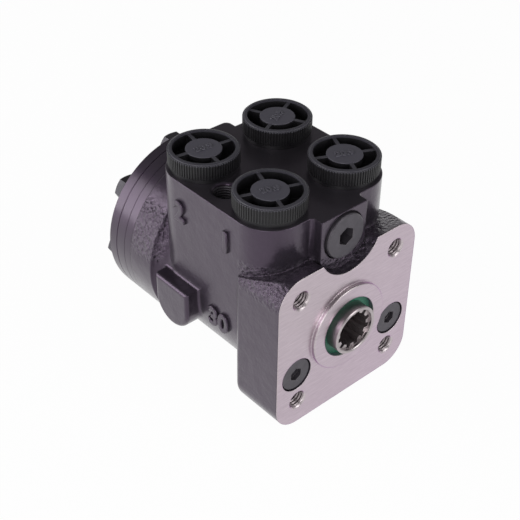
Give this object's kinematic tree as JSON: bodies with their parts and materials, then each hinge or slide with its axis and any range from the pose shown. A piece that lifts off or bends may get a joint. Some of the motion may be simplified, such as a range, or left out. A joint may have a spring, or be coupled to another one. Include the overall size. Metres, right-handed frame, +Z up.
{
  "type": "orbital steering unit",
  "caption": "Hydrostatic steering valve with a splined input, capped top ports and a bolted gerotor set at the rear.",
  "frame": {"origin": "centre of the mounting face, on the shaft axis", "axes": "-Y out of the mounting face along the shaft, +Y to the rear cover, +Z up to the ports, +X to the right seen from the shaft end"},
  "size_m": [0.092, 0.1346, 0.1142],
  "materials": {
    "cast_black": "satin black paint over a sand casting; machined mounting face bare",
    "disc_black": "satin black paint over turned steel",
    "bolt_black": "satin black",
    "plug_steel": "black oxide, satin",
    "ground_steel": "ground and honed",
    "sintered_steel": "plain machined",
    "ball_steel": "polished",
    "spring_steel": "satin",
    "green_rubber": "matt",
    "black_rubber": "matt",
    "cap_plastic": "moulded, slight sheen"
  },
  "bodies": {
    "frame": {"housing": "cast_black", "distribution_plate": "disc_black", "gear_rim": "disc_black", "end_cover": "disc_black", "cover_bolts": "bolt_black", "pin_bolt": "bolt_black", "cover_washers": "bolt_black", "housing_seal": "black_rubber", "rim_front_seal": "black_rubber", "rim_rear_seal": "black_rubber", "dust_seal": "green_rubber", "shaft_seal": "black_rubber", "bearing_outer_race": "ground_steel", "relief_plug": "plug_steel", "relief_seal": "black_rubber", "relief_screw": "sintered_steel", "relief_spring": "spring_steel", "shock_plugs": "plug_steel", "shock_seals": "black_rubber", "shock_screws": "sintered_steel", "shock_spring_left": "spring_steel", "shock_spring_right": "spring_steel", "suction_pins": "spring_steel", "check_bushing": "sintered_steel"},
    "sleeve": {"sleeve": "ground_steel", "cross_pin": "ground_steel", "spring_ring": "spring_steel", "bearing_inner_race": "ground_steel", "neutral_springs": "spring_steel"},
    "spool": {"spool": "ground_steel"},
    "bearing_cage": {"needle_cage": "sintered_steel"},
    "orbit_carrier": {"spacer": "sintered_steel"},
    "rotor": {"rotor": "sintered_steel"},
    "cardan": {"cardan_shaft": "sintered_steel"},
    "relief_poppet": {"relief_poppet": "sintered_steel"},
    "check_ball": {"check_ball": "ball_steel"},
    "shock_ball_left": {"shock_ball_left": "ball_steel"},
    "shock_ball_right": {"shock_ball_right": "ball_steel"},
    "suction_ball_left": {"suction_ball_left": "ball_steel"},
    "suction_ball_right": {"suction_ball_right": "ball_steel"},
    "cap_left": {"port_cap_left": "cap_plastic"},
    "cap_right": {"port_cap_right": "cap_plastic"},
    "cap_pump": {"port_cap_pump": "cap_plastic"},
    "cap_tank": {"port_cap_tank": "cap_plastic"}
  },
  "joints": [
    {"name": "sleeve_turn", "type": "hinge", "parent": "frame", "child": "sleeve", "pos_m": [0, 0.0635, 0], "axis": [0, 1, 0], "continuous": true},
    {"name": "spool_swing", "type": "hinge", "parent": "sleeve", "child": "spool", "pos_m": [0, 0.0635, 0], "axis": [0, 1, 0], "range_deg": [-8, 8], "stiffness_Nm_per_rad": 1, "deforming": ["neutral_springs"]},
    {"name": "cage_turn", "type": "hinge", "parent": "frame", "child": "bearing_cage", "pos_m": [0, 0.0194, 0], "axis": [0, 1, 0], "continuous": true},
    {"name": "rotor_orbit", "type": "hinge", "parent": "frame", "child": "orbit_carrier", "pos_m": [0, 0.1145, 0], "axis": [0, 1, 0], "continuous": true},
    {"name": "rotor_spin", "type": "hinge", "parent": "orbit_carrier", "child": "rotor", "pos_m": [0, 0.11225, -0.003], "axis": [0, 1, 0], "continuous": true},
    {"name": "cardan_spin", "type": "hinge", "parent": "orbit_carrier", "child": "cardan", "pos_m": [0, 0.041, 0], "axis": [0, 0.9991, -0.0421], "continuous": true},
    {"name": "relief_lift", "type": "slide", "parent": "frame", "child": "relief_poppet", "axis": [0, -1, 0], "range_m": [0, 0.0025], "stiffness_N_per_m": 200, "deforming": ["relief_spring"]},
    {"name": "shock_left_lift", "type": "slide", "parent": "frame", "child": "shock_ball_left", "axis": [0, -1, 0], "range_m": [0, 0.0015], "stiffness_N_per_m": 100, "deforming": ["shock_spring_left"]},
    {"name": "shock_right_lift", "type": "slide", "parent": "frame", "child": "shock_ball_right", "axis": [0, -1, 0], "range_m": [0, 0.0015], "stiffness_N_per_m": 100, "deforming": ["shock_spring_right"]},
    {"name": "suction_left_lift", "type": "slide", "parent": "frame", "child": "suction_ball_left", "axis": [0, 1, 0], "range_m": [0, 0.0015]},
    {"name": "suction_right_lift", "type": "slide", "parent": "frame", "child": "suction_ball_right", "axis": [0, 1, 0], "range_m": [0, 0.0015]},
    {"name": "check_lift", "type": "slide", "parent": "frame", "child": "check_ball", "axis": [0, 0, 1], "range_m": [0, 0.0015]},
    {"name": "cap_left_lift", "type": "slide", "parent": "frame", "child": "cap_left", "axis": [0, 0, 1], "range_m": [0, 0.04]},
    {"name": "cap_right_lift", "type": "slide", "parent": "frame", "child": "cap_right", "axis": [0, 0, 1], "range_m": [0, 0.04]},
    {"name": "cap_pump_lift", "type": "slide", "parent": "frame", "child": "cap_pump", "axis": [0, 0, 1], "range_m": [0, 0.04]},
    {"name": "cap_tank_lift", "type": "slide", "parent": "frame", "child": "cap_tank", "axis": [0, 0, 1], "range_m": [0, 0.04]}
  ],
  "couplings": [
    {"joint": "cage_turn", "follows": "sleeve_turn", "ratio": 0.5},
    {"joint": "rotor_orbit", "follows": "sleeve_turn", "ratio": -6},
    {"joint": "rotor_spin", "follows": "sleeve_turn", "ratio": 7},
    {"joint": "cardan_spin", "follows": "sleeve_turn", "ratio": 7}
  ]
}
